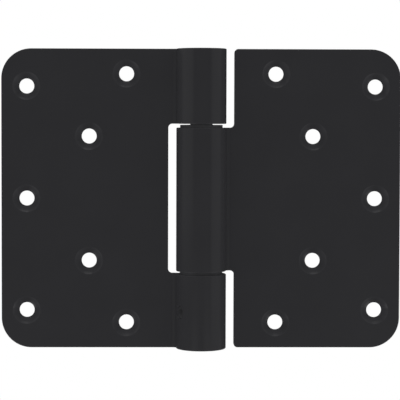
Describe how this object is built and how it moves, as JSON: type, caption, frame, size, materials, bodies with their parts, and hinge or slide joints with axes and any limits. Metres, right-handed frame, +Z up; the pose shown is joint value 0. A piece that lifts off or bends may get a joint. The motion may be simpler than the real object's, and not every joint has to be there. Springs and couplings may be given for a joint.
{
  "type": "door hinge",
  "caption": "Wide black steel door hinge: flat round-cornered leaves with countersunk screw holes, rolled knuckles on a fixed pin with flanged bushes, lying open flat.",
  "frame": {"origin": "on the pin axis, half way up the hinge", "axes": "+Z up along the pin, +X from the pin towards the door leaf, -Y towards the front, where the knuckles stand proud and the screw holes are countersunk"},
  "size_m": [0.16, 0.02, 0.12],
  "materials": {
    "black_coat": "satin black powder coat",
    "black_steel": "black oxide",
    "black_nylon": "matt moulded"
  },
  "bodies": {
    "frame_side": {"frame_leaf": "black_coat", "hinge_pin": "black_steel", "upper_pin_sleeve": "black_steel", "lower_pin_sleeve": "black_steel", "pin_lock_screw": "black_steel"},
    "door_side": {"door_leaf": "black_coat", "upper_bush": "black_nylon", "lower_bush": "black_nylon"}
  },
  "joints": [
    {"name": "door_swing", "type": "hinge", "parent": "frame_side", "child": "door_side", "pos_m": [0, 0, 0], "axis": [0, 0, -1], "range_deg": [-130, 180]}
  ]
}
